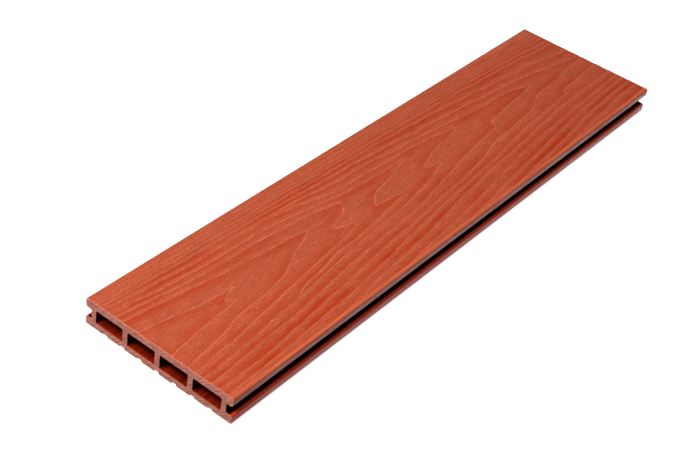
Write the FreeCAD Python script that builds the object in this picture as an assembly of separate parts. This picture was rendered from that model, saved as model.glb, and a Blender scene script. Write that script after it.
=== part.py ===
import FreeCAD, Part
import math
import os

# A hollow decking board of wood-plastic composite, cut to a short length. It is
# one extruded piece: a thick top wall, a bottom wall with relief channels, upright
# webs with chambers between them, and a clip groove along each long edge.
# The board lies flat on its underside. X runs across it, Y along it and Z up, from
# the middle of the underside. Sizes are in millimetres.

# Overall size
board_length = 610.0
board_width = 147.0
board_thickness = 26.0

# Walls round the chambers. The bottom wall is measured under the two middle ones, and
# the floor of each chamber further out lies one floor step higher.
top_wall = 6.7
bottom_wall = 6.5
floor_step = 0.7
outer_web = 5.0
inner_web = 5.3
chamber_count = 4
chamber_corner_radius = 0.8

# Clip groove along each long edge
clip_groove_depth = 5.9
clip_groove_height = 8.6
lower_lip_thickness = 8.0
groove_floor_radius = 0.8
groove_roof_radius = 1.0

# Rounded edges of the lips
top_edge_radius = 1.8
upper_lip_radius = 1.2
lower_lip_radius = 2.0
bottom_edge_radius = 1.2

# Relief channels in the underside. Their roots are level, and each pad between them
# lies one pad step higher than the next one towards the middle.
channel_count = 7
channel_margin = 20.7
channel_width = 5.0
channel_depth = 2.0
channel_side_slope = 0.5
channel_mouth_radius = 0.5
channel_root_radius = 0.4
pad_step = 0.3

# Places worked out from the sizes
side = board_width / 2
near_end = -board_length / 2
groove_back = side - clip_groove_depth
lip_underside = pad_step * (channel_count - 1) / 2
groove_floor = lip_underside + lower_lip_thickness
groove_roof = groove_floor + clip_groove_height
chamber_span = 2 * (groove_back - outer_web)
chamber_width = (chamber_span - (chamber_count - 1) * inner_web) / chamber_count
chamber_roof = board_thickness - top_wall


def on_end(x, z):
    """A point of the section, on the board's near end."""
    return FreeCAD.Vector(x, near_end, z)


def rounded_outline(corners):
    """A closed wire through corners (x, z, radius), with each corner rounded."""
    arcs = []
    for i, (x, z, radius) in enumerate(corners):
        corner = on_end(x, z)
        back = (on_end(*corners[i - 1][:2]) - corner).normalize()
        ahead = (on_end(*corners[(i + 1) % len(corners)][:2]) - corner).normalize()
        half_angle = back.getAngle(ahead) / 2
        reach = radius / math.tan(half_angle)
        apex_gap = radius / math.sin(half_angle) - radius
        middle = corner + (back + ahead).normalize() * apex_gap
        arcs.append((corner + back * reach, middle, corner + ahead * reach))
    edges = []
    for (_, _, leave), (start, middle, end) in zip(arcs[-1:] + arcs[:-1], arcs):
        edges.append(Part.LineSegment(leave, start).toShape())
        edges.append(Part.Arc(start, middle, end).toShape())
    return Part.Wire(edges)


def pad_level(place):
    """Height of the pad at a place counted in channel pitches from the middle."""
    return pad_step * max(abs(place) - 0.5, 0)


def channel_corners(index):
    """One relief channel, from its -X mouth to its +X mouth."""
    place = index - (channel_count - 1) / 2
    pitch = (board_width - 2 * channel_margin) / (channel_count - 1)
    centre = place * pitch
    half_mouth = channel_width / 2
    half_root = half_mouth - channel_side_slope
    return [
        (centre - half_mouth, pad_level(place - 0.5), channel_mouth_radius),
        (centre - half_root, channel_depth, channel_root_radius),
        (centre + half_root, channel_depth, channel_root_radius),
        (centre + half_mouth, pad_level(place + 0.5), channel_mouth_radius),
    ]


def edge_corners():
    """The +X edge from the underside up to the top: lower lip, groove, upper lip."""
    return [
        (side, lip_underside, bottom_edge_radius),
        (side, groove_floor, lower_lip_radius),
        (groove_back, groove_floor, groove_floor_radius),
        (groove_back, groove_roof, groove_roof_radius),
        (side, groove_roof, upper_lip_radius),
        (side, board_thickness, top_edge_radius),
    ]


def outer_outline():
    """The outside of the section, round both edges and every relief channel."""
    corners = []
    for i in range(channel_count):
        corners += channel_corners(i)
    right_edge = edge_corners()
    left_edge = [(-x, z, radius) for x, z, radius in reversed(right_edge)]
    return rounded_outline(corners + right_edge + left_edge)


def chamber_outline(index):
    """The outline of one chamber, counted from the -X side."""
    left = index * (chamber_width + inner_web) - chamber_span / 2
    right = left + chamber_width
    steps_out = abs(index - (chamber_count - 1) / 2) - 0.5
    floor = bottom_wall + floor_step * steps_out
    return rounded_outline([
        (left, floor, chamber_corner_radius),
        (right, floor, chamber_corner_radius),
        (right, chamber_roof, chamber_corner_radius),
        (left, chamber_roof, chamber_corner_radius),
    ])


def board():
    """The section with its chambers, drawn along the board's length."""
    chambers = [chamber_outline(i) for i in range(chamber_count)]
    section = Part.Face([outer_outline()] + chambers)
    return section.extrude(FreeCAD.Vector(0, board_length, 0))


os.makedirs("parts", exist_ok=True)
board().exportStep("parts/decking_board.step")
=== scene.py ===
import math
import random

import bpy
import numpy as np
from mathutils import Matrix, Vector
from mathutils.geometry import tessellate_polygon


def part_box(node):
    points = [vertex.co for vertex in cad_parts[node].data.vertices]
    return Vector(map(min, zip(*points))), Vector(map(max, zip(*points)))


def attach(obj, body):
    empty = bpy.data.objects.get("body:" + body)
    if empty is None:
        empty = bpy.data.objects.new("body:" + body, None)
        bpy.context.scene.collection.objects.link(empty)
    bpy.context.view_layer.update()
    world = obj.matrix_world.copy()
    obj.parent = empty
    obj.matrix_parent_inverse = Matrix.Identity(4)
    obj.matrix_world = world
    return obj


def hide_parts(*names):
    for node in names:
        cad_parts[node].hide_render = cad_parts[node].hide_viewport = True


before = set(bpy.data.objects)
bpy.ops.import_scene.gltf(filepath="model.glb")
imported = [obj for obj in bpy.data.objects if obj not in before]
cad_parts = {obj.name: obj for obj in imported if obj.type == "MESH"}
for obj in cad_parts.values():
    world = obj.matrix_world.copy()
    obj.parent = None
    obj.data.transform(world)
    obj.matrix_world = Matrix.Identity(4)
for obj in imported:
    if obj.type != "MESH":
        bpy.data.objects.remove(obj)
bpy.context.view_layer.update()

# A hollow decking board of wood-plastic composite. Its top is embossed with a cathedral grain, its
# sides and chambers are smooth as they left the die, and both ends are sawn.
# X is across the board, Y along it and Z up. Lengths below are in millimetres and become metres where
# meshes, lights and the camera are made.

MM = 0.001
ACROSS = 0
ALONG = 1
UP = 2
low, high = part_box("decking_board")
side = high.x / MM
thickness = (high.z - low.z) / MM
near_end = low.y / MM
far_end = high.y / MM
length = far_end - near_end

# Section, as in the solid, but for a rounder lower corner of the upper lips
top_wall = 6.7
bottom_wall = 6.5
floor_step = 0.7
outer_web = 5.0
inner_web = 5.3
chamber_count = 4
chamber_corner_radius = 0.8
clip_groove_depth = 5.9
clip_groove_height = 8.6
lower_lip_thickness = 8.0
groove_floor_radius = 0.8
groove_roof_radius = 1.0
top_edge_radius = 1.8
upper_lip_radius = 2.6
lower_lip_radius = 2.0
bottom_edge_radius = 1.2
channel_count = 7
channel_margin = 20.7
channel_width = 5.0
channel_depth = 2.0
channel_side_slope = 0.5
channel_mouth_radius = 0.5
channel_root_radius = 0.4
pad_step = 0.3

# Places worked out from the section
groove_back = side - clip_groove_depth
lip_underside = pad_step * (channel_count - 1) / 2
groove_floor = lip_underside + lower_lip_thickness
groove_roof = groove_floor + clip_groove_height
chamber_span = 2 * (groove_back - outer_web)
chamber_width = (chamber_span - (chamber_count - 1) * inner_web) / chamber_count
chamber_roof = thickness - top_wall

# Fineness of the mesh
arc_steps = 5
top_column_step = 0.605
top_row_step = 1.72
lower_point_step = 2.4
lower_station_step = 40.0
sharp_angle = math.radians(52)

# Sawn edges: a ragged chamfer, burrs on the floors of the chambers, and a pale frayed rim
saw_chamfer = 0.22
saw_chamfer_reach = 0.4
saw_raggedness = 0.12
chamber_burr = 0.45
burr_chance = 0.3
burr_zone = 0.2
saw_seed = 21
rim_width = 0.28
rim_strength = 0.8

# Embossed relief
relief_base = 0.09
relief_extra = 0.3
relief_full_band = 14.0
relief_step = 0.9
relief_curve = 1.3
edge_fade = 4.0

# Grain of the heart, inside the first ring
heart_half_width = 12.0
ring_corner_cut = 3.0

# The narrowest band, and the largest share of a band, which is still short of its line
least_band = 0.001
last_share = 0.9999

# Surfaces of the board
TOP = 0
EXTRUDED = 1
SAWN = 2

# How deeply the roller pressed the smooth part of each band, from the left side to the right
PRESS_PLACES = (-73, -60, -56, -51, -44, -35, -20, 0, 20, 40, 47, 52, 65, 73)
PRESS_SHARES = (0.12, 0.2, 0.45, 0.74, 0.66, 0.46, 0.4, 0.5, 0.58, 0.56, 0.68, 0.96, 0.9, 0.6)

# A clip groove counts as hollow, painted darker as shade and made duller, from its back outwards,
# and less so towards the rim of its lips
groove_fade = 4.0
groove_rim = 0.2
groove_margin = 0.01

# Colours, as shares of red, green and blue light sent back
FUZZY_COLOUR = (0.47, 0.080, 0.031)
SMOOTH_COLOUR = (0.425, 0.0335, 0.0035)
HAZE_COLOUR = (0.56, 0.16, 0.09)
LINE_COLOUR = (0.66, 0.192, 0.106)
# The edge colour is partly the polished right edge's own tone and partly a painted highlight
EDGE_HIGHLIGHT_COLOUR = (0.66, 0.13, 0.05)
SKIN_COLOUR = (0.52, 0.034, 0.008)
# The colour of the hollows is the skin painted dark, as painted shade inside the chambers and clip grooves
HOLLOW_SHADE_COLOUR = (0.235, 0.012, 0.001)
# The sawn colours are the ends' own paler tone, made paler still as painted light on the ends
SAWN_DARK = (0.56, 0.152, 0.098)
SAWN_PALE = (0.82, 0.31, 0.235)
RIM_COLOUR = (0.78, 0.32, 0.21)
FLOOR_COLOUR = (0.6, 0.6, 0.6)
WHITE = (1, 1, 1)

# Patterns of the looks: how often they change in a millimetre across, along and up the board, and
# the detail and roughness of their noise
PATTERNS = {
    "line wobble": ((0.45, 0.13, 0.45), 3.0, 0.7),
    "press wander": ((0.16, 0.03, 0.16), 3.0, 0.6),
    "press strength": ((0.09, 0.018, 0.09), 3.0, 0.6),
    "wood flour": ((1.4, 0.65, 1.4), 3.0, 0.75),
    "straight fibres": ((1.4, 0.08, 1.4), 3.0, 0.7),
    "clouds": ((0.03, 0.012, 0.03), 2.0, 0.5),
    "line width": ((0.8, 0.3, 0.8), 4.0, 0.75),
    "line strength": ((0.22, 0.05, 0.22), 4.0, 0.7),
    "polished edge and highlight": ((0.4, 0.025, 0.4), 3.0, 0.6),
    "sawn rim": ((1.2, 1.2, 1.2), 3.0, 0.7),
    "die lines": ((1.3, 0.012, 1.3), 3.0, 0.6),
    "skin patches": ((0.12, 0.03, 0.12), 2.0, 0.5),
    "saw scratches": ((0.9, 0.1, 0.1), 3.0, 0.7),
    "dust": ((1.5, 1.5, 1.5), 4.0, 0.7),
}

# Ranges of the looks: from and to, in what is eased, and the values that it gives there
RANGES = {
    "pressed part of a band": (0.16, 0.64, 0.0, 1.0),
    "narrow to wide band": (8.0, 14.0, 0.0, 1.0),
    "pressed part of a wide band": (2.5, 11.0, 0.6, 0.04),
    "close to a line": (0.7, 1.4, 1.0, 0.0),
    "press strength": (0.36, 0.62, 0.45, 1.15),
    "following to straight fibres": (5.0, 9.0, 0.0, 1.0),
    "mottle of the fuzz": (0.2, 0.9, 0.7, 1.25),
    "line width": (0.35, 0.7, 0.3, 1.15),
    "line strength": (0.34, 0.62, 0.12, 0.74),
    "lines at the left side": (-58, -35, 0.5, 1.0),
    "lines at the right side": (25, 38, 1.0, 0.65),
    "right edge": (side - 4.2, side - 2.4, 0.0, 1.0),
    "polished edge and highlight": (0.36, 0.62, 0.5, 0.95),
    "roughness of the top": (0.2, 1.0, 0.5, 0.74),
    "sawn rim": (0.36, 0.7, 0.35 * rim_width, 2.2 * rim_width),
    "tone of the die lines": (0.3, 0.7, 0.86, 1.1),
    "tone of the patches": (0.3, 0.7, -0.06, 0.06),
    "gloss of the patches": (0.3, 0.7, 0.34, 0.46),
    "streaks in the hollows": (0.36, 0.64, 0.6, 1.4),
    "painted shade from back to rim of a groove": (groove_back + 2.5, side - 0.4, 0.06, 1.0),
    "painted shade on hollow walls that face +X": (0.3, 0.9, 1.0, 0.12),
    "outer face of a lip": (side - 2.4, side - 1.4, 0.0, 1.0),
    "lower lip": (groove_floor, groove_roof, 1.0, 0.0),
    "painted light on the lower lip": (0.0, 1.0, 1.0, 1.5),
    "skin to hollow": (0.15, 0.75, 0.0, 1.0),
    "rim in a hollow": (0.0, 1.0, 1.0, 0.35),
    "shine in a hollow": (0.0, 0.2, 1.0, 0.06),
    "shine of what faces up": (0.05, 0.5, 1.0, 0.15),
    "shine of what faces down": (-0.6, 0.0, 0.05, 1.0),
    "saw scratches": (0.38, 0.66, 0.0, 1.0),
    "tone of the dust": (0.25, 0.75, 0.88, 1.1),
}

# The embossed top: its worn lines, the wandering of its pressed bands, and its fine grain
top_specular = 0.14
line_wobble = 1.3
line_shift = 0.05
line_core = 0.08
line_crest = 1.4
crest_height = 0.13
narrow_press_wander = 0.35
wide_press_wander = 5.0
flour_strength = 1.2
fibre_strength = 0.8
cloud_strength = 0.12
haze_strength = 2.1
fine_height = 0.5
top_bump = 0.45

# Fibres that follow the lines: how often they change in a millimetre across and along a band, and
# how far apart in the noise one ring's fibres lie from the next one's
fibres_across = 1.7
fibres_along = 0.04
fibres_apart = 17.3

# The skin that the die leaves
skin_shine = 0.3
lip_shine = 0.1
skin_bump = 0.12

# The hollows, whose darkening is painted shade: how far in from the sawn ends they darken, and to
# what share of their colour
hollow_start = 0.5
hollow_reach = 10.0
hollow_shade_tone = 0.1
hollow_roughness = 0.45
groove_end_shade = 0.4
groove_wall_margin = 0.5

# The sawn ends
saw_slant = math.radians(-50)
sawn_specular = 0.3
sawn_roughness = 0.8
dust_height = 0.5
sawn_bump = 0.3

# Small marks on the top: from and to, each as along the board from the near end and across it, half
# width, and how strong the mark is, less than nought for a dark dash of painted shadow beside a step
# and more for a pale speck
mark_softness = 1.6
MARKS_AND_SHADOW_DASHES = (
    ((90, -56.8), (116, -56.8), 0.35, -0.3), ((194, -57), (241, -54.5), 0.35, -0.3),
    ((325, -57), (365, -56), 0.35, -0.3), ((377, -55.3), (386, -55.3), 0.35, -0.25),
    ((370, -43.5), (400, -43.5), 0.35, -0.25), ((480, -55.3), (490, -55.3), 0.35, -0.25),
    ((0, -0.5), (4, -0.8), 0.35, -0.15), ((3, -3.5), (7, -3.8), 0.35, -0.15),
    ((3, -8), (8, -8.2), 0.35, -0.15), ((311, 31.8), (317, 32), 0.8, -0.15),
    ((266, 29.5), (273, 29), 0.8, -0.12), ((81, 38.8), (83, 38.8), 0.4, 0.7),
    ((84, 21.7), (85.5, 21.7), 0.4, 0.9), ((80, 43), (84, 42.9), 0.35, 0.5),
    ((211, 20.9), (215, 20.8), 0.4, 0.6), ((406, 17.6), (410, 17.4), 0.4, 0.6),
    ((498, 32.5), (502, 32.4), 0.4, 0.6), ((290, -43.8), (294, -43.8), 0.4, 0.6),
    ((305, -42.5), (309, -42.5), 0.4, 0.6), ((380, -45.5), (384, -45.5), 0.4, 0.6),
    ((415, 23.5), (470, 21), 0.4, 0.4), ((470, 21), (490, 20), 0.4, 0.4),
)

# Camera, from where the photograph was taken
camera_place = (497.85, -866.29, 734.81)
camera_azimuth = 32.19
camera_elevation = 37.95
camera_roll = 9.77
camera_lens = 72.98
camera_sensor = 36.0
camera_nearest = 50.0

# Floor, sky and lights: name, place, aim, size and power in watts
floor_half_size = 40000.0
floor_gap = 0.05
floor_roughness = 0.9
floor_glow = 0.8
sky_strength = 0.12
LIGHTS = (
    ("key", (-350, -1120, 1270), (0, -260, 0), 600, 20.4),
    ("overhead", (100, -250, 1500), (100, -250, 0), 900, 11),
    ("back", (100, 1500, 1100), (0, 0, 0), 700, 3.2),
)

# The rings of the grain, read from the heart outwards, each up one side and back: along the
# board from the near end, and across it
GRAIN_RINGS = [
    [(-5, 13.7), (0, 13.2), (10, 11.9), (20, 10.7), (25, 9.5), (35, 8.4), (50, 7.3), (65, 6.4), (73, 5.7),
     (78, 4.9), (80, 4.3), (77, 2.5), (73.5, 1.3), (70.5, 0.3), (73, -1), (76, -2.5), (80, -4.1), (84, -5),
     (90.5, -6.2), (86, -6.9), (80, -7.6), (70, -8.6), (60, -9.5), (51, -10.5), (45, -11.9), (39, -12.5),
     (30, -15.1), (20, -17.5), (10, -18.5), (0, -20), (-5, -20.8)],
    [(-5, 30.5), (0, 29.5), (5, 28.7), (15, 27.3), (25, 26.1), (35, 24.8), (45, 23.3), (50, 21.9),
     (55, 20.5), (60, 19.1), (65, 18.1), (70, 17.3), (80, 16.5), (90, 15.9), (100, 15.4), (110, 14.5),
     (120, 12.5), (128, 10.8), (133, 9.5), (137, 7.5), (142, 5.1), (147, 3), (152, 1), (157, -1.5),
     (162, -3.4), (167, -4.8), (173, -6.3), (178, -8.7), (182, -10.1), (186, -12.8), (181, -13.8),
     (175, -15.1), (165, -16.5), (150, -17.5), (135, -18.3), (128, -19.2), (118, -20.5), (105, -21.7),
     (95, -22.9), (88, -23.8), (78, -25.5), (68, -27), (58, -28.8), (48, -30.2), (38, -31.7), (28, -33),
     (18, -34), (8, -35.4), (0, -36.3), (-5, -36.8)],
    [(-5, 37.5), (0, 37), (10, 36.3), (20, 35), (30, 34), (40, 33.3), (50, 32.5), (60, 31.3), (70, 30),
     (80, 28.5), (90, 27.5), (100, 26.3), (110, 25), (120, 23.4), (130, 22.2), (140, 21), (150, 19.9),
     (160, 18.8), (170, 17.5), (180, 16.5), (190, 15.3), (200, 13.9), (210, 12.5), (218, 11.2),
     (223.5, 9.7), (224, 8.3), (221, 6.5), (216, 4.8), (210, 3.5), (206.5, 2.5), (203.5, 0.8),
     (202.8, -0.7), (205, -1.5), (209, -2.5), (214, -4.5), (219, -6.1), (224, -7.5), (228, -9.5),
     (231.5, -12), (233, -15), (235, -17.7), (229, -19.1), (222, -20.5), (215, -22.5), (208, -24.1),
     (200, -24.7), (190, -25.8), (180, -26.7), (170, -27.9), (160, -28.8), (150, -30), (143, -30.7),
     (130, -31), (120, -31.3), (110, -31.5), (100, -31.7), (90, -32), (82, -32.9), (70, -34.1), (60, -35.1),
     (48, -36.3), (38, -38), (28, -39.3), (15, -41.2), (5, -42.2), (-5, -42.9)],
    [(-5, 44.5), (0, 44.4), (18, 43.8), (30, 43), (40, 42.3), (53, 41.6), (65, 40.6), (75, 39.5),
     (82, 38.1), (95, 37.1), (105, 36.5), (118, 35.7), (121, 33.7), (124, 32.1), (130, 30), (137, 28.9),
     (145, 27.9), (153, 27.1), (160, 25.7), (170, 23.9), (180, 22.3), (190, 21.5), (200, 21.1), (213, 20.5),
     (220, 19.5), (230, 18.9), (240, 18.4), (248, 17.3), (253, 16.1), (260, 15.1), (270, 13.8), (280, 12.1),
     (286, 11.1), (286, 9.5), (281, 8.5), (275, 7.7), (268, 6.9), (258, 6.1), (254.5, 5.5), (256, 3),
     (258, 1), (261, -1.3), (264, -3.5), (267.5, -5.5), (272, -6.7), (280, -8.2), (288, -9.5), (296, -10.9),
     (303, -11.9), (306.5, -13.3), (307, -14.3), (305, -15.2), (308, -15.9), (315, -16.1), (321, -17.3),
     (328, -18.7), (318, -19.1), (305, -19.5), (292, -20.3), (280, -21), (265, -21.9), (252, -22.9),
     (240, -24.7), (230, -26.3), (220, -27.8), (210, -29.5), (200, -31.2), (190, -32.5), (180, -34.3),
     (170, -35.5), (160, -36.5), (150, -37.1), (140, -37.7), (120, -38.1), (105, -38.3), (95, -38.8),
     (82, -39.5), (66.7, -40.5), (60, -41.2), (50.7, -41.7), (39.5, -42.7), (32, -43.5), (29, -45.2),
     (18, -45.5), (6.7, -47.5), (-5, -48.5)],
    [(-5, 45.5), (0, 45.3), (18, 44.7), (30, 43.8), (40, 43.2), (53, 42.5), (65, 41.5), (75, 40.5),
     (82, 39), (95, 37.9), (105, 37), (122, 35.8), (135, 34.1), (145, 32.9), (152, 31.7), (165, 30.7),
     (175, 29.5), (190, 27.8), (200, 27), (215, 25.7), (230, 24.8), (245, 23.9), (255, 23.4), (265, 22.9),
     (272, 21.9), (280, 20.7), (290, 19.1), (300, 18.1), (308, 16.9), (316, 15.1), (325, 13.2), (332, 11.5),
     (338, 9.1), (343, 7.7), (348, 6.8), (346, 5.1), (341, 4.4), (335, 3.5), (331.5, 2.5), (330.8, 0.8),
     (333, -1.3), (337, -2.7), (343, -4.5), (350, -6.7), (355, -8.5), (362, -9.7), (372, -10.9),
     (382, -12.1), (390, -13.1), (398, -14.5), (407, -16.1), (400, -17.7), (393, -19.2), (385, -20.7),
     (377, -22.3), (370, -23.3), (360, -24.1), (350, -24.9), (340, -25.5), (325, -26.3), (312, -26.9),
     (300, -27.7), (285, -28.3), (270, -28.9), (255, -29.4), (245, -30.3), (237, -31.5), (230, -32.9),
     (220, -35), (212, -37.3), (203, -40), (195, -40.8), (185, -42.2), (182, -42.8), (178, -43.7),
     (169, -44.5), (153, -45), (143, -45.7), (126, -45.1), (102, -46), (92, -45.3), (83, -46.3),
     (74, -46.8), (67, -47.7), (60, -48.5), (51, -49), (42, -49.5), (35, -50.3), (28, -51.8), (19, -52.5),
     (10, -53), (2, -53.8), (-5, -54.5)],
    [(-5, 52.1), (0, 51.9), (15, 51.5), (25, 50.5), (38, 49.7), (47, 49.3), (58, 48.2), (65, 47.5),
     (80, 47.5), (95, 47.3), (105, 46), (120, 44.4), (130, 43.2), (150, 41.3), (160, 40.2), (170, 39),
     (180, 38.1), (190, 37.3), (205, 36.1), (215, 35.5), (230, 34.4), (245, 33.5), (262, 32.2), (280, 30.8),
     (290, 29.4), (300, 27.9), (310, 26.3), (320, 24.3), (330, 22.5), (340, 21), (350, 19.2), (360, 17.8),
     (370, 16.2), (382, 14.5), (392, 13.1), (400, 12), (410, 10.9), (420, 9.8), (430, 8.5), (436, 7.3),
     (437, 4.5), (436, 1.3), (440, -0.1), (448, -1.3), (458, -2.5), (470, -3.7), (480, -4.7), (490, -5.5),
     (500, -6.3), (510, -7.5), (518, -8.7), (525.5, -10.3), (518, -12.1), (510, -13.9), (502, -16.1),
     (495, -17.5), (487, -19), (480, -19.5), (470, -19.4), (460, -19.9), (450, -20.7), (440, -21.5),
     (430, -22.4), (420, -23.6), (410, -24.9), (400, -26.3), (390, -27.7), (380, -28.7), (370, -29.7),
     (360, -30.7), (345, -31.8), (335, -32.3), (325, -33.3), (320, -33.7), (312, -34.5), (304, -35.8),
     (297, -36.4), (290, -37), (275, -37.2), (262, -37.4), (250, -38.7), (240, -39.8), (232, -40.7),
     (223, -41.8), (219, -42.7), (213, -43.2), (207, -43.8), (193, -44), (186, -44.1), (178, -44.7),
     (169, -45.4), (153, -45.9), (143, -46.5), (126, -46.1), (102, -46.8), (92, -46.3), (83, -47.1),
     (74, -47.7), (67, -48.5), (60, -49.3), (51, -49.9), (42, -50.4), (35, -51.2), (28, -52.5), (19, -53.3),
     (10, -53.8), (2, -54.6), (-5, -55.3)],
    [(-5, 59.9), (0, 59.9), (15, 60.3), (35, 59.9), (55, 59.5), (65, 58.5), (75, 57.7), (85, 56.5),
     (100, 55.1), (112, 54.3), (122, 52.9), (127, 51.9), (140, 51.3), (155, 50.7), (167, 49.3), (180, 47.9),
     (190, 46.9), (200, 45.9), (210, 44.9), (220, 43.9), (232, 41.9), (250, 41.3), (265, 40.5), (275, 39.5),
     (285, 38.3), (295, 37.3), (307, 36.1), (320, 35.5), (335, 33.9), (345, 33.1), (355, 32.3), (362, 31.1),
     (370, 30.1), (380, 28.5), (387, 27.5), (393, 25.9), (400, 24.1), (407, 22.3), (415, 20.9), (425, 20.3),
     (435, 19.7), (445, 18.9), (455, 18.1), (465, 17.3), (475, 16.3), (487, 14.9), (492, 13.1), (497, 10.9),
     (502, 8.3), (507, 6.5), (513, 4.9), (520, 3.9), (540, 2.7), (555, 1.5), (565, 0.1), (570, -0.7),
     (580, -1.5), (590, -2.1), (613, -2.5), (613, -7.9), (597, -9.3), (585, -11.3), (575, -13.1),
     (565, -15.5), (555, -17.9), (545, -19.5), (535, -21.1), (527, -22.5), (520, -23.9), (510, -25.5),
     (500, -26.3), (490, -26.8), (480, -27.9), (472, -28.1), (465, -28.9), (455, -30.5), (447, -31.9),
     (437, -32.3), (420, -33.3), (412, -33.9), (405, -34.7), (395, -35.5), (385, -36.1), (374, -36.3),
     (366, -37.1), (358, -38.3), (350, -39.7), (340, -40.5), (330, -41.2), (316, -41.7), (308.7, -42.3),
     (298, -43.5), (290.7, -44.2), (282.7, -45), (274, -44.8), (258.7, -44.8), (240, -45.9), (232, -46.7),
     (226, -47.2), (213, -47.7), (206, -48.7), (194, -49), (183, -49.5), (176.7, -50.3), (157, -50.8),
     (146.7, -51.3), (133, -52), (120.7, -52.2), (113, -52.8), (102.7, -53.2), (80, -53.8), (60, -54.3),
     (53, -55.2), (36, -55.8), (28, -56.5), (20, -57.2), (7, -57.7), (-5, -58.5)],
    [(-5, 68.1), (0, 68), (15, 67.5), (30, 67.1), (45, 66.3), (60, 65.7), (80, 64.9), (90, 64.3),
     (100, 63.1), (115, 62.1), (130, 61.3), (150, 60.5), (160, 59.9), (170, 58.7), (180, 57.3), (190, 56.3),
     (200, 54.9), (210, 53.9), (220, 52.1), (225, 51.1), (235, 50.1), (250, 48.9), (260, 47.5), (270, 46.7),
     (280, 45.5), (290, 44.5), (300, 43.3), (308, 42.3), (320, 41.5), (330, 40.7), (345, 39.3), (360, 37.9),
     (370, 36.9), (380, 36.3), (390, 35.7), (400, 34.5), (410, 33.5), (420, 31.9), (427, 30.7), (435, 29.9),
     (445, 28.9), (455, 28.1), (465, 27.3), (475, 26.5), (490, 25.1), (500, 24.5), (515, 23.7), (530, 22.7),
     (536.5, 22.1), (537.5, 20.5), (538.5, 18.5), (545, 16.9), (555, 16.3), (565, 15.5), (575, 14.9),
     (585, 13.9), (600, 13.3), (613, 13), (613, -22.3), (600, -22.9), (590, -23.9), (580, -26.1),
     (570, -28.1), (560, -29.3), (550, -30.9), (540, -31.7), (530, -32.7), (520, -33.5), (510, -34.5),
     (500, -35.5), (490, -36.1), (480, -36.9), (470, -38.1), (460, -39.5), (453, -40.2), (446.7, -40.5),
     (437.7, -41.7), (424, -43.2), (415, -43.5), (406, -44.5), (396, -44.7), (383, -45.3), (369, -46.5),
     (356, -47.2), (340, -48), (333, -48.3), (321, -49.2), (301, -50.2), (279, -50), (260, -51),
     (245, -51.3), (234, -51.8), (222.7, -52.3), (212, -53.2), (196, -53.7), (175.7, -54.3), (157, -55.3),
     (140.7, -56), (130, -56.7), (117, -57), (100, -58), (76.7, -58.2), (70, -58.8), (50.7, -59.2),
     (35, -60.2), (15, -60.8), (9, -61.7), (-5, -62.5)],
    [(-5, 76.5), (105, 75), (112, 72.9), (115, 71.5), (130, 70.6), (140, 69.7), (150, 68.5), (160, 67.3),
     (170, 65.5), (180, 64.3), (190, 63.5), (200, 62.7), (210, 61.7), (220, 60.9), (230, 60.3), (240, 59.4),
     (250, 58.1), (262, 57.6), (270, 56.5), (280, 54.3), (290, 52.5), (300, 51), (315, 49.1), (325, 47.5),
     (340, 46.3), (350, 45.3), (360, 44.5), (370, 43.3), (380, 42.5), (400, 41.1), (410, 40.5), (425, 39.1),
     (440, 37.7), (447, 36.7), (457, 36.1), (465, 34.9), (475, 34.3), (487, 33.6), (500, 32.1), (515, 30.9),
     (550, 30.3), (580, 30.1), (595, 29.1), (613, 28.5), (613, -38), (595, -39.1), (575, -40.5), (570, -41),
     (556.7, -43), (546.7, -44.3), (526.7, -44.7), (511.7, -45.5), (498.7, -46.8), (484, -46.5),
     (470, -47.5), (462, -49), (454, -50.1), (436, -50.2), (413, -51), (392, -51.8), (372, -52.7),
     (346.7, -53.2), (336.7, -53.8), (319, -54.3), (296, -55.2), (265, -56.2), (242.5, -55.7), (233, -56.2),
     (225, -57), (208.7, -58), (194.7, -57.8), (185, -58.8), (160, -58.5), (148.7, -59.3), (132, -60.7),
     (112, -61.3), (83, -62.2), (72.7, -63), (58, -63), (42.7, -64), (37, -64.8), (26.7, -65.5), (8, -65.8),
     (-5, -66.3)],
    [(-5, 82.5), (198, 75), (205, 72.5), (215, 71.1), (222, 69.9), (230, 68.5), (240, 67.5), (250, 66.7),
     (265, 65.5), (280, 64.3), (295, 63.3), (305, 62.3), (320, 60.5), (330, 59.5), (340, 58.3), (350, 57.7),
     (360, 56), (370, 54.1), (380, 52.7), (390, 51.3), (400, 50.5), (408, 49.5), (415, 47.9), (425, 46.5),
     (433, 45.7), (447, 45.3), (460, 44.5), (480, 43.7), (500, 42.5), (515, 41.5), (535, 40.5), (560, 39.5),
     (613, 37.5), (613, -43.5), (590, -45.2), (574.7, -46.7), (563, -47.5), (545, -49), (528.7, -50.2),
     (507, -50.8), (499, -51.8), (475, -52.5), (466.7, -53.8), (446.7, -54.5), (439, -54.2), (429, -55.2),
     (406.7, -56.2), (388.7, -57), (353, -58.2), (322, -58.8), (311, -59.5), (281, -59), (262, -59.5),
     (246.7, -59.1), (232.7, -60.5), (212, -61.5), (186.7, -61.8), (176, -62.7), (157, -62.8), (147, -63.8),
     (130, -64.5), (116, -65.2), (100, -66), (86, -66.5), (73, -66.4), (60, -67.7), (49, -68.3), (38, -69),
     (28.7, -69.8), (15, -71.5), (-5, -74.5)],
    [(-5, 88.5), (298, 75.5), (306, 72.1), (309, 70.5), (315, 69.7), (322, 69.1), (330, 67.7), (340, 66.9),
     (350, 65.5), (360, 64.3), (370, 63.3), (380, 61.9), (390, 60.9), (400, 59.7), (410, 58.7), (420, 57.9),
     (430, 57.1), (437, 56.5), (445, 55.5), (455, 53.9), (465, 52.7), (475, 52.1), (490, 50.5), (500, 49.3),
     (510, 48.7), (520, 47.9), (530, 47.3), (545, 46.3), (560, 45.5), (585, 45), (613, 44), (613, -50.5),
     (590, -51.3), (576.7, -52), (565, -52.5), (551, -54), (530, -54.8), (500, -55.8), (482, -56.6),
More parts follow.
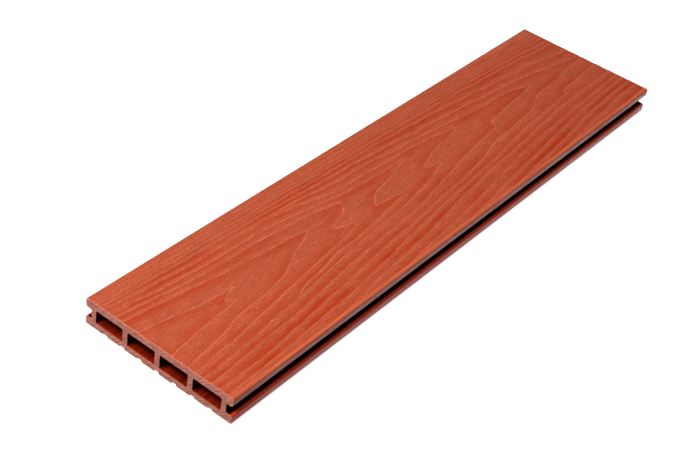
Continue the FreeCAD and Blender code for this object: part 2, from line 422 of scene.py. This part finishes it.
     (472, -57.3), (466.7, -58.5), (443, -58.2), (437, -59.2), (412, -59.2), (397, -60.2), (383, -61.3),
     (356, -61.3), (343, -62.3), (326.7, -62.2), (314.7, -63.3), (292, -63.7), (259, -63.3), (252.7, -64.2),
     (232, -65), (203, -66.2), (177, -67), (150, -68), (116, -69.5), (95, -70.5), (54.7, -73), (-5, -79.5)],
    [(-5, 94.5), (368, 75.5), (376, 72.1), (381, 70.9), (390, 69.7), (400, 68.3), (410, 66.9), (420, 66.3),
     (430, 65.5), (440, 64.9), (450, 63.9), (460, 62.7), (470, 61.9), (480, 60.8), (490, 59.8), (500, 58.1),
     (510, 56.9), (520, 56.3), (530, 55.3), (540, 54.3), (555, 53.3), (565, 52.5), (580, 52.1), (613, 51.1),
     (613, -55), (588, -56.2), (569, -56.8), (554, -57.7), (517, -58.5), (500, -59.5), (486, -60.8),
     (467, -61.5), (447, -62.5), (435, -63.3), (421, -63.7), (396, -64.3), (373, -65.3), (345, -66.5),
     (318, -67.8), (280, -69), (240, -70.5), (200, -72.5), (-5, -87.5)],
    [(-5, 100.5), (430, 75.5), (438, 72.3), (450, 71.2), (465, 70.1), (475, 68.9), (485, 67.7), (500, 66.1),
     (510, 65.1), (520, 64.1), (530, 63.3), (545, 62.3), (560, 61.3), (575, 60.3), (590, 59.5), (613, 58.5),
     (613, -59.5), (575, -60.8), (547, -61.8), (518, -62.7), (502, -63.8), (485, -65.3), (464, -66.2),
     (453, -66.8), (442, -67.7), (410, -69.5), (370, -71.5), (340, -73.5), (-5, -95.5)],
    [(-5, 106.5), (552, 75.5), (560, 72.7), (570, 71.5), (580, 70.5), (613, 68), (613, -63.5), (586, -64.2),
     (565, -65.5), (542, -66.8), (521, -67.5), (510, -68.8), (490, -70), (465, -71.1), (440, -73),
     (-5, -103.5)],
]

# Grain field


def rounded_ring(points):
    """The ring with its corners cut once, so that it bends smoothly."""
    here = np.array(points, float)
    ahead = np.roll(here, -1, axis=0)
    stride = ahead - here
    span = np.linalg.norm(stride, axis=1)[:, None]
    cut = stride * np.minimum(0.25, ring_corner_cut / span)
    ring = np.empty((2 * len(here), 2))
    ring[0::2] = here + cut
    ring[1::2] = ahead - cut
    return ring


def from_stretch(along, across, start, end):
    """How far every point is from the nearest spot of a straight stretch, along and across."""
    ax, ay = start
    ex = end[0] - ax
    ey = end[1] - ay
    reach = np.clip(((along - ax) * ex + (across - ay) * ey) / (ex * ex + ey * ey), 0, 1)
    return along - ax - reach * ex, across - ay - reach * ey


def signed_distance(along, across, ring):
    """Distance of every point from the ring, less than nought inside it."""
    squared = np.full(along.shape, np.inf)
    inside = np.zeros(along.shape, bool)
    for start, end in zip(ring, np.roll(ring, -1, axis=0)):
        away_along, away_across = from_stretch(along, across, start, end)
        squared = np.minimum(squared, away_along**2 + away_across**2)
        (ax, ay), (bx, by) = start, end
        if ay != by:
            crossing = (bx - ax) * (across - ay) / (by - ay) + ax
            inside ^= ((ay > across) != (by > across)) & (along < crossing)
    distance = np.sqrt(squared)
    return np.where(inside, -distance, distance)


def grain_field(along, across):
    """For every point, the number of the ring that it is in plus its share of the way out to the
    next line, and the width of that band."""
    distances = np.stack([signed_distance(along, across, rounded_ring(r)) for r in GRAIN_RINGS])
    ring = np.minimum((distances > 0).sum(axis=0), len(GRAIN_RINGS) - 1)
    point = np.arange(len(along))
    to_outer = np.maximum(-distances[ring, point], 0)
    to_inner = np.where(ring > 0, distances[np.maximum(ring - 1, 0), point], heart_half_width)
    to_inner = np.maximum(to_inner, 0)
    band = np.maximum(to_inner + to_outer, least_band)
    return ring + np.minimum(to_inner / band, last_share), band


def relief_depth(grain, band, across):
    """How far the top lies under its highest plane: nothing just outside a line, growing to the
    full depth just inside the next one, with a short step up across the line."""
    share = grain % 1
    full = relief_base + relief_extra * np.minimum(band / relief_full_band, 1)
    step = np.minimum(relief_step / band, 0.5)
    fall = np.clip(share / (1 - step), 0, 1)
    rise = np.clip((share - 1 + step) / step, 0, 1)
    fade = np.clip((side - np.abs(across)) / edge_fade, 0, 1)
    return full * fall**relief_curve * (1 - rise) * fade


def press(across):
    """How dark and smooth the pressed part of a band is at each point."""
    return np.interp(across, PRESS_PLACES, PRESS_SHARES)


def marks_and_shadow_dashes(along, across):
    """Strength of the small marks at each point, dark ones, which are painted shadow, less than nought and
    pale ones more.
    """
    strength = np.zeros(len(along))
    for start, end, half_width, tone in MARKS_AND_SHADOW_DASHES:
        away = np.hypot(*from_stretch(along, across, start, end))
        strength += tone * np.clip(mark_softness - away / half_width, 0, 1)
    return strength


def hollow_share(x, z):
    """One deep in a clip groove and nought out on the lips."""
    in_groove = (groove_floor - groove_margin < z) & (z < groove_roof + groove_margin)
    return np.where(in_groove, np.clip((side - groove_rim - np.abs(x)) / groove_fade, 0, 1), 0)


# Outlines of the section, in X and Z


def arc_at(before, corner, after, radius):
    """Points of the arc that rounds a corner."""
    apex = Vector(corner)
    back = (Vector(before) - apex).normalized()
    ahead = (Vector(after) - apex).normalized()
    half = back.angle(ahead) / 2
    centre = apex + (back + ahead).normalized() * (radius / math.sin(half))
    start = apex + back * (radius / math.tan(half)) - centre
    end = apex + ahead * (radius / math.tan(half)) - centre
    sweep = start.angle(end)
    points = []
    for i in range(arc_steps + 1):
        share = i / arc_steps
        spoke = start * math.sin((1 - share) * sweep) + end * math.sin(share * sweep)
        points.append(tuple(centre + spoke / math.sin(sweep)))
    return points


def with_steps(points, step, closed=False):
    """The same outline with more points on its long straight stretches."""
    out = []
    ends = points[1:] + points[:1] if closed else points[1:]
    for (x, z), (end_x, end_z) in zip(points, ends):
        count = max(1, round(math.dist((x, z), (end_x, end_z)) / step))
        for i in range(count):
            share = i / count
            out.append((x + (end_x - x) * share, z + (end_z - z) * share))
    return out if closed else out + [points[-1]]


def pad_level(place):
    """Height of the pad at a place counted in channel pitches from the middle."""
    return pad_step * max(abs(place) - 0.5, 0)


def channel_corners(index):
    """One relief channel of the underside, from its -X mouth to its +X mouth."""
    place = index - (channel_count - 1) / 2
    centre = place * 2 * (side - channel_margin) / (channel_count - 1)
    half_mouth = channel_width / 2
    half_root = half_mouth - channel_side_slope
    return [
        (centre - half_mouth, pad_level(place - 0.5), channel_mouth_radius),
        (centre - half_root, channel_depth, channel_root_radius),
        (centre + half_root, channel_depth, channel_root_radius),
        (centre + half_mouth, pad_level(place + 0.5), channel_mouth_radius),
    ]


def lower_outline():
    """The section from the left top edge down the side, along the underside and up to the right
    top edge."""
    right = [
        (side, lip_underside, bottom_edge_radius),
        (side, groove_floor, lower_lip_radius),
        (groove_back, groove_floor, groove_floor_radius),
        (groove_back, groove_roof, groove_roof_radius),
        (side, groove_roof, upper_lip_radius),
    ]
    left = [(-x, z, radius) for x, z, radius in reversed(right)]
    channels = []
    for i in range(channel_count):
        channels += channel_corners(i)
    corners = left + channels + right
    start = (-side, thickness - top_edge_radius)
    end = (side, thickness - top_edge_radius)
    path = [start] + [(x, z) for x, z, _ in corners] + [end]
    points = [start]
    for i, (_, _, radius) in enumerate(corners):
        points += arc_at(path[i], path[i + 1], path[i + 2], radius)
    return with_steps(points + [end], lower_point_step)


def upper_outline():
    """The section from the right side over the rounded edges and the flat top to the left side."""
    corner_right = (side, thickness)
    corner_left = (-side, thickness)
    right = arc_at((side, 0), corner_right, corner_left, top_edge_radius)
    left = arc_at(corner_right, corner_left, (-side, 0), top_edge_radius)
    return with_steps(right + left, top_column_step)


def chamber_outline(index):
    """One chamber, all the way round."""
    left = index * (chamber_width + inner_web) - chamber_span / 2
    right = left + chamber_width
    floor = bottom_wall + floor_step * (abs(index - (chamber_count - 1) / 2) - 0.5)
    corners = [(left, floor), (right, floor), (right, chamber_roof), (left, chamber_roof)]
    points = []
    for i, corner in enumerate(corners):
        points += arc_at(corners[i - 1], corner, corners[(i + 1) % 4], chamber_corner_radius)
    return with_steps(points, lower_point_step, closed=True)


def drawn_in(points, amounts):
    """A closed outline moved to its left, into the solid, by an amount at each point."""
    here = np.array(points)
    along = np.roll(here, -1, axis=0) - np.roll(here, 1, axis=0)
    along /= np.linalg.norm(along, axis=1)[:, None]
    inward = np.stack([-along[:, 1], along[:, 0]], axis=1)
    return here + inward * np.array(amounts)[:, None]


# The board as one closed mesh


def even_rows(first, last, step):
    """Evenly spaced rows from first to last, with one more close to each end for the sawn edge."""
    count = round((last - first) / step)
    inner = np.linspace(first, last, count + 1)[1:-1]
    return np.concatenate([[first, first + saw_chamfer_reach], inner, [last - saw_chamfer_reach, last]])


def stations_of(row_count):
    """The rows of the top where the lower outline and the chambers, which are coarser, have points."""
    inner = np.linspace(1, row_count - 2, round(length / lower_station_step))
    return [0] + [int(row) for row in inner] + [row_count - 1]


def add_grid(points, rows, outline):
    """Adds an outline's points at every row to the list, and gives their numbers as a grid."""
    first = len(points)
    points += [(x, y, z) for y in rows for x, z in outline]
    return np.arange(first, len(points)).reshape(len(rows), len(outline))


def quads(grid):
    """The four-sided faces between the rows of a grid of point numbers."""
    near = grid[:-1]
    far = grid[1:]
    corners = [near[:, :-1], far[:, :-1], far[:, 1:], near[:, 1:]]
    return np.stack(corners, axis=-1).reshape(-1, 4).tolist()


def fan(coarse, fine):
    """Triangles between one edge of two points and a finer edge beside it."""
    middle = len(fine) // 2
    faces = [(coarse[0], fine[i], fine[i + 1]) for i in range(middle)]
    faces.append((coarse[0], fine[middle], coarse[1]))
    faces += [(coarse[1], fine[i], fine[i + 1]) for i in range(middle, len(fine) - 1)]
    return faces


def skin_faces(top, stations, lower, chambers):
    """The sides, the underside and the walls of the chambers, between each station and the next."""
    faces = []
    for s in range(len(stations) - 1):
        edge = top[stations[s] : stations[s + 1] + 1]
        faces += fan(lower[[s, s + 1], 1], edge[:, -1])
        faces += fan(lower[[s + 1, s], -2], edge[::-1, 0])
        faces += quads(lower[s : s + 2, 1:-1])
        for grid in chambers:
            faces += quads(np.hstack([grid, grid[:, :1]])[s : s + 2])
    return faces


def saw_loop(draw, points, loop, is_chamber):
    """Draws one loop of a sawn end in by the ragged chamfer, with burrs on a chamber's floor."""
    flat = points[loop][:, [0, 2]]
    amounts = [saw_chamfer + draw.uniform(-saw_raggedness, saw_raggedness) for _ in loop]
    if is_chamber:
        floor = flat[:, 1].min()
        for k, (_, z) in enumerate(flat):
            if z < floor + burr_zone and draw.random() < burr_chance:
                amounts[k] -= draw.uniform(0, chamber_burr)
    moved = drawn_in(flat, amounts)
    points[loop, 0] = moved[:, 0]
    points[loop, 2] = moved[:, 1]


def sawn_faces(points, loops, outward):
    """Triangles that close one end between its loops. Outward is the sign of Y that the end faces."""
    outlines = [[Vector((x, z, 0)) for x, _, z in points[loop]] for loop in loops]
    numbers = np.concatenate(loops)
    faces = []
    for triangle in tessellate_polygon(outlines):
        face = tuple(numbers[i] for i in triangle)
        (ax, az), (bx, bz), (cx, cz) = (points[i][[0, 2]] for i in face)
        turn = (bx - ax) * (cz - az) - (bz - az) * (cx - ax)
        if turn == 0:
            continue
        # A left turn in X and Z faces -Y
        faces.append(face if (turn > 0) == (outward < 0) else face[::-1])
    return faces


def board_mesh():
    """Points, faces and surface numbers of the board, with the values that its look reads."""
    rows = even_rows(near_end, far_end, top_row_step)
    upper = upper_outline()
    places = np.meshgrid(rows - near_end, [x for x, _ in upper], indexing="ij")
    along, across = (place.ravel() for place in places)
    grain, band = grain_field(along, across)
    depth = relief_depth(grain, band, across).reshape(len(rows), len(upper))

    # The lower outline shares its first and last points with the outer columns of the top
    points = [(x, y, z - down) for y, row in zip(rows, depth) for (x, z), down in zip(upper, row)]
    top = np.arange(len(points)).reshape(depth.shape)
    stations = stations_of(len(rows))
    lower = add_grid(points, rows[stations], lower_outline()[1:-1])
    lower = np.hstack([top[stations, -1:], lower, top[stations, :1]])
    outlines = [chamber_outline(i)[::-1] for i in range(chamber_count)]
    chambers = [add_grid(points, rows[stations], outline) for outline in outlines]
    points = np.array(points)

    faces = quads(top)
    surface = [TOP] * len(faces)
    faces += skin_faces(top, stations, lower, chambers)
    surface += [EXTRUDED] * (len(faces) - len(surface))
    draw = random.Random(saw_seed)
    for end, outward in ((0, -1), (-1, 1)):
        outer = np.concatenate([top[end], lower[end, 1:-1]])
        saw_loop(draw, points, outer, is_chamber=False)
        for grid in chambers:
            saw_loop(draw, points, grid[end], is_chamber=True)
        faces += sawn_faces(points, [outer] + [grid[end] for grid in chambers], outward)
    surface += [SAWN] * (len(faces) - len(surface))

    looks = {"hollow": hollow_share(points[:, 0], points[:, 2])}
    looks["hollow"][: top.size] = 0
    looks["hollow"][chambers[0][0, 0] :] = 1
    on_top = {"grain": grain, "band": band, "press": press(across), "mark": marks_and_shadow_dashes(along, across)}
    for name, numbers in on_top.items():
        looks[name] = np.zeros(len(points))
        looks[name][: top.size] = numbers
    return points * MM, faces, surface, looks


def make_board():
    """The mesh object with its three looks and the values that they read."""
    points, faces, surface, looks = board_mesh()
    mesh = bpy.data.meshes.new("board")
    mesh.from_pydata(points.tolist(), [], faces)
    for name, numbers in looks.items():
        values = mesh.attributes.new(name, "FLOAT", "POINT").data
        values.foreach_set("value", numbers.astype(np.float32))
    for look in (embossed_look(), extruded_look(), sawn_look()):
        mesh.materials.append(look)
    mesh.polygons.foreach_set("material_index", surface)
    mesh.polygons.foreach_set("use_smooth", [True] * len(faces))
    mesh.set_sharp_from_angle(angle=sharp_angle)
    mesh.validate()
    board = bpy.data.objects.new("board", mesh)
    bpy.context.scene.collection.objects.link(board)
    return board


# Parts that the looks are made of


class Signal:
    """What comes out of a node. Sums with it are written as usual, and each adds its own node."""

    def __init__(self, tree, socket):
        self.tree = tree
        self.socket = socket

    def __add__(self, other):
        return maths("ADD", self, other)

    def __radd__(self, other):
        return maths("ADD", other, self)

    def __sub__(self, other):
        return maths("SUBTRACT", self, other)

    def __rsub__(self, other):
        return maths("SUBTRACT", other, self)

    def __mul__(self, other):
        return maths("MULTIPLY", self, other)

    def __truediv__(self, other):
        return maths("DIVIDE", self, other)

    def __lt__(self, other):
        return maths("LESS_THAN", self, other)

    def __gt__(self, other):
        return maths("GREATER_THAN", self, other)

    def __abs__(self):
        return maths("ABSOLUTE", self)

    def held(self):
        """The same result of a sum, held between nought and one."""
        self.socket.node.use_clamp = True
        return self


def plug(tree, value, socket):
    """Gives a socket a number, a colour or the output of another node."""
    if isinstance(value, Signal):
        tree.links.new(value.socket, socket)
    elif socket.type == "RGBA":
        socket.default_value = (*value, 1)
    else:
        socket.default_value = value


def signal(tree, kind, inputs, output=0, **settings):
    """A new node with its settings and inputs, and what comes out of it."""
    node = tree.nodes.new(kind)
    for name, setting in settings.items():
        setattr(node, name, setting)
    for name, value in inputs.items():
        plug(tree, value, node.inputs[name])
    return Signal(tree, node.outputs[output])


def maths(operation, *values):
    """The result of one operation on numbers and signals."""
    tree = next(value.tree for value in values if isinstance(value, Signal))
    return signal(tree, "ShaderNodeMath", dict(enumerate(values)), operation=operation)


def blended(share, first, second):
    """A number between two others."""
    return first + share * (second - first)


def eased(value, *limits):
    """A value eased between two limits, from the first value given for them to the second."""
    inputs = dict(enumerate((value, *limits)))
    return signal(value.tree, "ShaderNodeMapRange", inputs, interpolation_type="SMOOTHSTEP")


def ranged(value, name):
    """A value eased over one of the named ranges."""
    return eased(value, *RANGES[name])


def mixed(share, first, second):
    """A colour between two others."""
    inputs = {0: share, 6: first, 7: second}
    return signal(share.tree, "ShaderNodeMix", inputs, output=2, data_type="RGBA")


def scaled(colour, factor):
    """A colour made lighter or darker."""
    inputs = {0: colour, "Scale": factor}
    return signal(factor.tree, "ShaderNodeVectorMath", inputs, operation="SCALE")


def axis_of(vector, axis):
    """One of the three numbers of a vector."""
    return signal(vector.tree, "ShaderNodeSeparateXYZ", {0: vector}, output=axis)


def place(tree, stretch=(1, 1, 1), turn=0.0):
    """The place on the board in millimetres, turned about Y and stretched for a pattern."""
    metres = signal(tree, "ShaderNodeTexCoord", {}, output="Object")
    turned = {"Vector": metres, "Rotation": (0, turn, 0), "Scale": (1 / MM, 1 / MM, 1 / MM)}
    millimetres = signal(tree, "ShaderNodeMapping", turned, vector_type="POINT")
    return signal(tree, "ShaderNodeVectorMath", {0: millimetres, 1: stretch}, operation="MULTIPLY")


def on_board(tree, axis):
    """The place on the board in millimetres along one axis."""
    return axis_of(place(tree), axis)


def from_end(tree):
    """Distance from the nearer sawn end in millimetres."""
    return length / 2 - abs(on_board(tree, ALONG))


def point_value(tree, name):
    """A value that the points of the mesh carry."""
    return signal(tree, "ShaderNodeAttribute", {}, output="Fac", attribute_name=name)


def noise(vector, detail, roughness):
    """Cloudy noise from nought to one, which changes about once in each unit of the vector."""
    inputs = {"Vector": vector, "Scale": 1.0, "Detail": detail, "Roughness": roughness}
    return signal(vector.tree, "ShaderNodeTexNoise", inputs, output="Fac")


def pattern(tree, name, turn=0.0):
    """One of the named patterns, from nought to one."""
    stretch, detail, roughness = PATTERNS[name]
    return noise(place(tree, stretch, turn), detail, roughness)


def bumped(height, distance):
    """The surface's normal, tilted by a height whose one is the distance in millimetres."""
    inputs = {"Distance": distance * MM, "Strength": 1.0, "Height": height}
    return signal(height.tree, "ShaderNodeBump", inputs)


def new_look(name):
    """A new material and its node tree."""
    look = bpy.data.materials.new(name)
    look.use_nodes = True
    return look, look.node_tree


def shaded(look, inputs):
    """The material, with what goes into its shader."""
    shader = look.node_tree.nodes["Principled BSDF"]
    for name, value in inputs.items():
        plug(look.node_tree, value, shader.inputs[name])
    return look


def sawn_rim(tree):
    """How strong the narrow frayed rim at both sawn ends is, with a ragged limit."""
    limit = ranged(pattern(tree, "sawn rim"), "sawn rim")
    return (from_end(tree) < limit) * rim_strength


# The embossed top


def smoothness(tree, share, outside, band, signed, from_line):
    """One on the pressed, smooth part of each band, which ends sharply at the ragged line, and nought
    where the band is fuzzy."""
    press = point_value(tree, "press")
    wander = pattern(tree, "press wander") - 0.5
    in_narrow = ranged(share + wander * narrow_press_wander, "pressed part of a band") * press
    far_in = band - outside + wander * wide_press_wander
    in_wide = ranged(far_in, "pressed part of a wide band")
    pressed = blended(ranged(band, "narrow to wide band"), in_narrow, in_wide)
    at_line = (from_line < 0) * press
    close = ranged(abs(signed), "close to a line")
    strength = ranged(pattern(tree, "press strength"), "press strength")
    return (blended(close, pressed, at_line) * strength).held()


def flour_and_fibres(tree, grain, outside, band):
    """The fine grain of the wood flour, and fibres that follow the lines of the narrow bands and run
    straight in the wide ones."""
    flour = (pattern(tree, "wood flour") - 0.5) * flour_strength
    along_band = on_board(tree, ALONG) * fibres_along
    ring = maths("FLOOR", grain) * fibres_apart
    streaks = {0: outside * fibres_across, 1: along_band, 2: ring}
    streaks = signal(tree, "ShaderNodeCombineXYZ", streaks)
    following = noise(streaks, *PATTERNS["straight fibres"][1:])
    straightness = ranged(band, "following to straight fibres")
    fibres = blended(straightness, following, pattern(tree, "straight fibres"))
    return flour + (fibres - 0.5) * fibre_strength


def worn_line(tree, from_line):
    """One on the worn line along each step, fading to nought beside it over an uneven width."""
    width = ranged(pattern(tree, "line width"), "line width")
    beyond = abs(from_line - line_shift) - line_core
    return (1 - beyond / width).held()


def line_strength(tree):
    """How strong the worn lines are at each place, fainter towards both sides of the board."""
    across = on_board(tree, ACROSS)
    sides = ranged(across, "lines at the left side") * ranged(across, "lines at the right side")
    return ranged(pattern(tree, "line strength"), "line strength") * sides


def polished_edge_and_highlight(tree):
    """How strong the paler right edge is at each place: partly worn and polished, partly a painted
    highlight.
    """
    edge = ranged(on_board(tree, ACROSS), "right edge")
    return edge * ranged(pattern(tree, "polished edge and highlight"), "polished edge and highlight")


def embossed_look():
    """The embossed top: pale fuzzy bands that fade to smooth dark ones, with a worn line where each
    band steps up to the next."""
    look, tree = new_look("embossed_composite")
    grain = point_value(tree, "grain")
    band = point_value(tree, "band")
    mark = point_value(tree, "mark")

    # Distance out from the nearest line, less than nought inside it, and the same with a ragged line
    share = maths("FRACT", grain)
    outside = share * band
    signed = outside - (share > 0.5) * band
    from_line = signed + (pattern(tree, "line wobble") - 0.5) * line_wobble

    # Bands, with the fine grain and its haze
    smooth = smoothness(tree, share, outside, band, signed, from_line)
    fuzz = 1 - smooth
    fine = flour_and_fibres(tree, grain, outside, band)
    fine_on_fuzz = ranged(fuzz, "mottle of the fuzz")
    clouds = (pattern(tree, "clouds") - 0.5) * cloud_strength
    colour = mixed(smooth, FUZZY_COLOUR, SMOOTH_COLOUR)
    colour = scaled(colour, 1 + (fine * fine_on_fuzz + clouds))
    colour = mixed((fine * haze_strength).held() * fuzz, colour, HAZE_COLOUR)

    # Worn lines, dark dashes of painted shadow and pale specks, the polished right edge with its painted
    # highlight, and the rim that the saw leaves
    strength = line_strength(tree)
    colour = mixed(worn_line(tree, from_line) * strength, colour, LINE_COLOUR)
    # The dark marks darken the colour as painted shadow beside the steps
    colour = scaled(colour, 1 + maths("MINIMUM", mark, 0))
    colour = mixed(maths("MAXIMUM", mark, 0), colour, LINE_COLOUR)
    colour = mixed(polished_edge_and_highlight(tree), colour, EDGE_HIGHLIGHT_COLOUR)
    colour = mixed(sawn_rim(tree), colour, RIM_COLOUR)

    # Bump of the fine grain and of a crest along each line
    crest = (1 - abs(from_line) / line_crest).held() * strength
    height = fine * fine_height * fine_on_fuzz + crest * crest_height
    return shaded(look, {
        "Base Color": colour,
        "Roughness": ranged(fuzz, "roughness of the top"),
        "Specular IOR Level": top_specular,
        "Normal": bumped(height, top_bump),
    })


# The extruded skin


def hollow_painted_shade(tree, outward):
    """Painted shade: the share of their colour that the hollows show at each place. They darken away
    from the sawn ends, and the clip grooves are darker throughout, but for their rims."""
    in_groove = outward > groove_back - groove_wall_margin
    end_tone = blended(in_groove, 1, groove_end_shade)
    rim_tone = blended(in_groove, 1, ranged(outward, "painted shade from back to rim of a groove"))
    return eased(from_end(tree), hollow_start, hollow_reach, end_tone, hollow_shade_tone) * rim_tone


def skin_gloss(hollow, on_lower_lip, facing_up):
    """How much the skin shines: most on the upright faces and the lower lips, least in the hollows."""
    shine = skin_shine + on_lower_lip * lip_shine
    shine = shine * ranged(facing_up, "shine of what faces up")
    shine = shine * ranged(facing_up, "shine of what faces down")
    return ranged(hollow, "shine in a hollow") * shine


def extruded_look():
    """The smooth skin that the die leaves, with faint lines along the board. The lower lips are
    painted paler, as painted light, and the chambers and the clip grooves are painted darker, as
    painted shade, and duller."""
    look, tree = new_look("extruded_composite")
    hollow = point_value(tree, "hollow")
    lines = pattern(tree, "die lines")
    patches = pattern(tree, "skin patches")
    outward = abs(on_board(tree, ACROSS))
    normal = signal(tree, "ShaderNodeNewGeometry", {}, output="Normal")

    low_down = ranged(on_board(tree, UP), "lower lip")
    on_lower_lip = ranged(outward, "outer face of a lip") * low_down
    tone = ranged(lines, "tone of the die lines") + ranged(patches, "tone of the patches")
    # Painted light: the outer faces of the lower lips are painted paler, standing in for light thrown up
    # from the floor
    outer = scaled(SKIN_COLOUR, tone * ranged(on_lower_lip, "painted light on the lower lip"))
    # Painted shade: walls of the hollows that face +X are darker, and the hollows darken away from the sawn
    # ends
    walls = ranged(axis_of(normal, ACROSS), "painted shade on hollow walls that face +X")
    depth = walls * hollow_painted_shade(tree, outward)
    inner = scaled(HOLLOW_SHADE_COLOUR, ranged(lines, "streaks in the hollows") * depth)
    colour = mixed(ranged(hollow, "skin to hollow"), outer, inner)
    rim = sawn_rim(tree) * ranged(hollow, "rim in a hollow")
    return shaded(look, {
        "Base Color": mixed(rim, colour, RIM_COLOUR),
        "Roughness": ranged(patches, "gloss of the patches") + hollow * hollow_roughness,
        "Specular IOR Level": skin_gloss(hollow, on_lower_lip, axis_of(normal, UP)),
        "Normal": bumped(lines, skin_bump),
    })


# The sawn ends


def sawn_look():
    """The sawn ends: dusty, paler than the skin and made paler still as painted light, with slanting
    scratches from the blade.
    """
    look, tree = new_look("sawn_composite")
    scratches = pattern(tree, "saw scratches", saw_slant)
    dust = pattern(tree, "dust")
    colour = mixed(ranged(scratches, "saw scratches"), SAWN_DARK, SAWN_PALE)
    return shaded(look, {
        "Base Color": scaled(colour, ranged(dust, "tone of the dust")),
        "Roughness": sawn_roughness,
        "Specular IOR Level": sawn_specular,
        "Normal": bumped(scratches + dust * dust_height, sawn_bump),
    })


# Stage


def make_floor():
    """A wide pale floor just under the board. It glows a little, so that it renders white, and it
    throws no coloured light back on the board."""
    mesh = bpy.data.meshes.new("floor")
    reach = floor_half_size * MM
    level = low.z - floor_gap * MM
    spots = ((-reach, -reach), (reach, -reach), (reach, reach), (-reach, reach))
    mesh.from_pydata([(x, y, level) for x, y in spots], [], [(0, 1, 2, 3)])
    look, _ = new_look("pale_floor")
    glow = {"Emission Color": WHITE, "Emission Strength": floor_glow}
    matt = {"Base Color": FLOOR_COLOUR, "Roughness": floor_roughness, "Specular IOR Level": 0}
    mesh.materials.append(shaded(look, matt | glow))
    floor = bpy.data.objects.new("floor", mesh)
    floor.visible_diffuse = False
    bpy.context.scene.collection.objects.link(floor)
    return floor


def make_light(name, place_mm, aim_mm, size_mm, watts):
    """A soft square light that faces a point of the board."""
    data = bpy.data.lights.new(name, "AREA")
    data.shape = "SQUARE"
    data.size = size_mm * MM
    data.energy = watts
    light = bpy.data.objects.new(name, data)
    here = Vector(place_mm) * MM
    light.location = here
    light.rotation_euler = (Vector(aim_mm) * MM - here).to_track_quat("-Z", "Y").to_euler()
    bpy.context.scene.collection.objects.link(light)


def make_camera():
    """The camera, where the photograph was taken from."""
    data = bpy.data.cameras.new("camera")
    data.sensor_fit = "HORIZONTAL"
    data.sensor_width = camera_sensor
    data.lens = camera_lens
    data.clip_start = camera_nearest * MM
    camera = bpy.data.objects.new("camera", data)
    turn = Matrix.Rotation(math.radians(camera_azimuth), 4, "Z")
    turn @= Matrix.Rotation(math.radians(90 - camera_elevation), 4, "X")
    turn @= Matrix.Rotation(math.radians(camera_roll), 4, "Z")
    camera.matrix_world = Matrix.Translation(Vector(camera_place) * MM) @ turn
    bpy.context.scene.collection.objects.link(camera)
    bpy.context.scene.camera = camera


def make_world():
    """A dim white sky."""
    world = bpy.data.worlds.new("studio")
    world.use_nodes = True
    background = world.node_tree.nodes["Background"]
    plug(world.node_tree, WHITE, background.inputs["Color"])
    plug(world.node_tree, sky_strength, background.inputs["Strength"])
    bpy.context.scene.world = world


board = make_board()
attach(board, "root")
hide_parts("decking_board")
make_floor()
for light in LIGHTS:
    make_light(*light)
make_world()
make_camera()
bpy.context.scene.view_settings.view_transform = "Standard"
